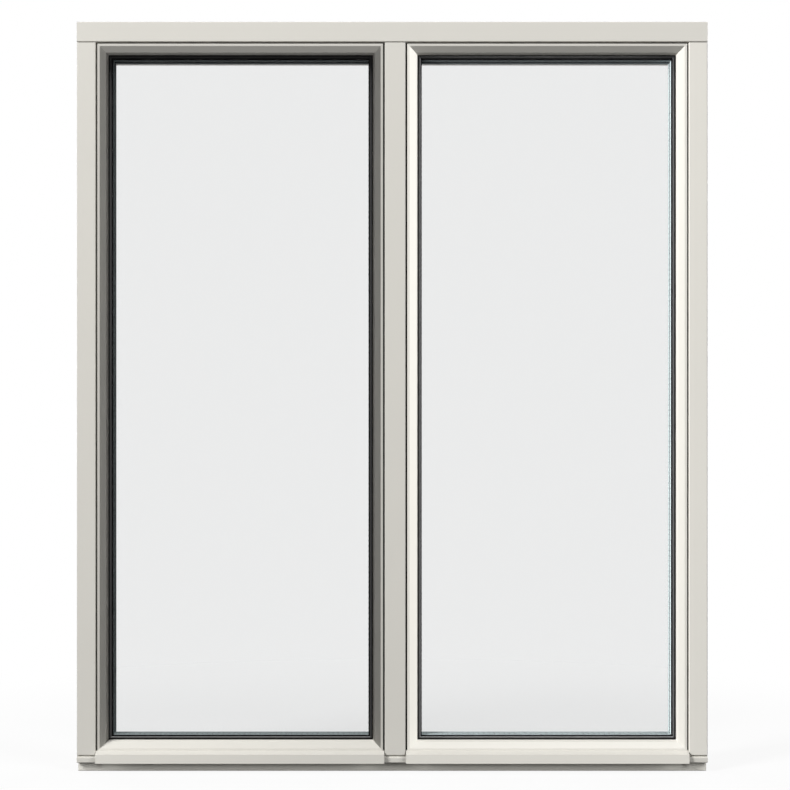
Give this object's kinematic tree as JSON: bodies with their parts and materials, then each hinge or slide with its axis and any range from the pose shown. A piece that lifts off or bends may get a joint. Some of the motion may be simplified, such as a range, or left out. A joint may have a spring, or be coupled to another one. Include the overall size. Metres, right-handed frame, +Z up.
{
  "type": "fixed window",
  "caption": "Fixed window with lights side by side, a painted timber frame clad outside in aluminium, sloped glazing beads, a drip nose over the sill and sealed glass units",
  "frame": {"origin": "on the underside of the timber sill, midway along the window and midway through the timber", "axes": "X runs along the window, Y goes from the weather side to the room, Z is up"},
  "size_m": [1.08, 0.1145, 1.285],
  "materials": {
    "painted_timber": "satin paint",
    "cladding": "satin powder coat",
    "beads": "satin powder coat",
    "glass": "clear float glass",
    "spacer": "matt grey",
    "gasket": "black rubber",
    "packer": "moulded"
  },
  "bodies": {
    "root": {"head_timber": "painted_timber", "sill_timber": "painted_timber", "left_jamb_timber": "painted_timber", "right_jamb_timber": "painted_timber", "mullion_timber": "painted_timber", "head_cladding": "cladding", "sill_cladding": "cladding", "left_jamb_cladding": "cladding", "right_jamb_cladding": "cladding", "mullion_cladding": "cladding", "left_light_head_bead": "beads", "left_light_left_bead": "beads", "left_light_right_bead": "beads", "left_light_sill_bead": "beads", "right_light_head_bead": "beads", "right_light_left_bead": "beads", "right_light_right_bead": "beads", "right_light_sill_bead": "beads", "left_light_outer_pane": "glass", "left_light_middle_pane": "glass", "left_light_inner_pane": "glass", "right_light_outer_pane": "glass", "right_light_middle_pane": "glass", "right_light_inner_pane": "glass", "left_light_outer_spacer": "spacer", "left_light_inner_spacer": "spacer", "right_light_outer_spacer": "spacer", "right_light_inner_spacer": "spacer", "left_light_outer_gasket": "gasket", "left_light_inner_gasket": "gasket", "right_light_outer_gasket": "gasket", "right_light_inner_gasket": "gasket", "left_light_setting_blocks": "packer", "right_light_setting_blocks": "packer"}
  },
  "joints": []
}
